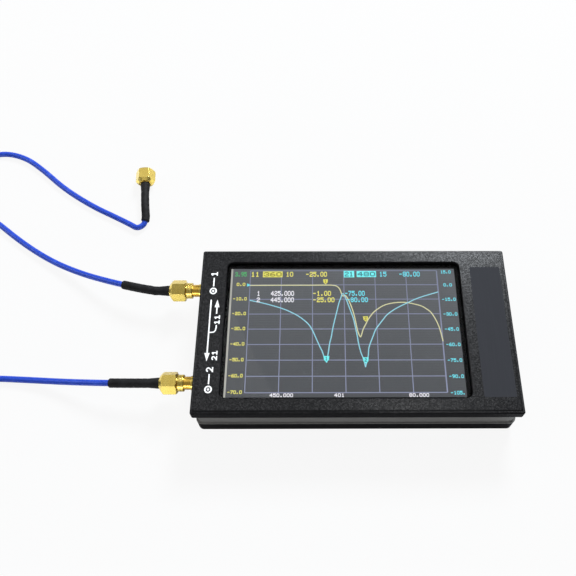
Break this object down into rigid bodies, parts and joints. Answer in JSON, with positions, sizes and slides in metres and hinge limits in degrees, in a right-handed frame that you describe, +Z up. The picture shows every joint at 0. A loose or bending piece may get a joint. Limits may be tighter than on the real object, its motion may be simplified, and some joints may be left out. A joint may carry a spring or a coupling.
{
  "type": "antenna analyzer",
  "caption": "Handheld antenna analyzer in a black metal case with a wide touch screen, coaxial ports on its left edge and blue test leads with loose plugs.",
  "frame": {"origin": "centre of the case's flat underside, on the surface it lies on", "axes": "+Z up out of the screen, +X along the case's long side away from the two ports, +Y from the user towards the far edge with the switches"},
  "size_m": [0.2548, 0.1666, 0.022],
  "materials": {
    "cover_paint": "fine textured satin black",
    "frame_paint": "satin grey",
    "screw_steel": "blackened",
    "foam": "matte foam",
    "touch_glass": "glossy",
    "lcd": "lit display",
    "tin_plate": "tin plated",
    "flex_film": "amber film",
    "connector_plastic": "moulded",
    "circuit_board": "solder resist",
    "standoff_brass": "turned",
    "chip_epoxy": "moulded",
    "battery_wrap": "foil pouch",
    "light_pipe": "clear",
    "switch_plastic": "moulded",
    "gold_plate": "gold plated",
    "white_insulator": "fluoropolymer",
    "shrink_sleeve": "matte",
    "cable_jacket": "smooth blue jacket"
  },
  "bodies": {
    "case": {"battery": "battery_wrap", "battery_socket": "connector_plastic", "battery_tape": "foam", "board_screws": "screw_steel", "board_standoffs": "standoff_brass", "case_screws": "screw_steel", "front_cover": "cover_paint", "jog_switch_body": "connector_plastic", "lcd_frame": "tin_plate", "lcd_panel": "lcd", "lcd_ribbon": "flex_film", "lead_1_cable": "cable_jacket", "lead_1_far_body": "gold_plate", "lead_1_far_insulator": "white_insulator", "lead_1_far_pin": "gold_plate", "lead_1_far_sleeve": "shrink_sleeve", "lead_1_near_body": "gold_plate", "lead_1_near_insulator": "white_insulator", "lead_1_near_pin": "gold_plate", "lead_1_near_sleeve": "shrink_sleeve", "lead_2_cable": "cable_jacket", "lead_2_coil": "cable_jacket", "lead_2_far_body": "gold_plate", "lead_2_far_insulator": "white_insulator", "lead_2_far_pin": "gold_plate", "lead_2_far_sleeve": "shrink_sleeve", "lead_2_near_body": "gold_plate", "lead_2_near_insulator": "white_insulator", "lead_2_near_pin": "gold_plate", "lead_2_near_sleeve": "shrink_sleeve", "lead_2_tail": "cable_jacket", "main_board": "circuit_board", "memory_chip": "chip_epoxy", "port_1_contact": "gold_plate", "port_1_insulator": "white_insulator", "port_1_jack": "gold_plate", "port_1_shield": "tin_plate", "port_2_contact": "gold_plate", "port_2_insulator": "white_insulator", "port_2_jack": "gold_plate", "port_2_shield": "tin_plate", "power_switch_body": "connector_plastic", "processor": "chip_epoxy", "rear_cover": "cover_paint", "ribbon_socket": "connector_plastic", "side_frame": "frame_paint", "status_light": "light_pipe", "touch_glass": "touch_glass", "usb_socket": "tin_plate", "usb_tongue": "connector_plastic", "window_gasket": "foam"},
    "power_slider": {"power_slider": "switch_plastic"},
    "jog_carrier": {"jog_carrier": "switch_plastic"},
    "jog_lever": {"jog_lever": "switch_plastic"},
    "lead_1_near_nut": {"lead_1_near_nut": "gold_plate"},
    "lead_1_far_nut": {"lead_1_far_nut": "gold_plate"},
    "lead_2_near_nut": {"lead_2_near_nut": "gold_plate"},
    "lead_2_far_nut": {"lead_2_far_nut": "gold_plate"}
  },
  "joints": [
    {"name": "power_slide", "type": "slide", "parent": "case", "child": "power_slider", "axis": [1, 0, 0], "range_m": [0, 0.002]},
    {"name": "jog_press", "type": "slide", "parent": "case", "child": "jog_carrier", "axis": [0, -1, 0], "range_m": [0, 0.0005], "stiffness_N_per_m": 600, "springref_m": -0.001},
    {"name": "jog_tilt", "type": "hinge", "parent": "jog_carrier", "child": "jog_lever", "pos_m": [0.02, 0.0288, 0.01282], "axis": [0, 0, 1], "range_deg": [-10, 10], "stiffness_Nm_per_rad": 0.02},
    {"name": "lead_1_near_nut_turn", "type": "hinge", "parent": "case", "child": "lead_1_near_nut", "pos_m": [-0.0734, 0.022, 0.011], "axis": [-1, 0, 0], "continuous": true},
    {"name": "lead_2_near_nut_turn", "type": "hinge", "parent": "case", "child": "lead_2_near_nut", "pos_m": [-0.0734, -0.0193, 0.011], "axis": [-1, 0, 0], "continuous": true},
    {"name": "lead_1_far_nut_turn", "type": "hinge", "parent": "case", "child": "lead_1_far_nut", "pos_m": [-0.09776, 0.08738, 0.00402], "axis": [-0.0854, 0.9963, 0], "continuous": true},
    {"name": "lead_2_far_nut_turn", "type": "hinge", "parent": "case", "child": "lead_2_far_nut", "pos_m": [-0.14604, -0.05787, 0.00402], "axis": [0.9781, -0.2079, 0], "continuous": true}
  ]
}
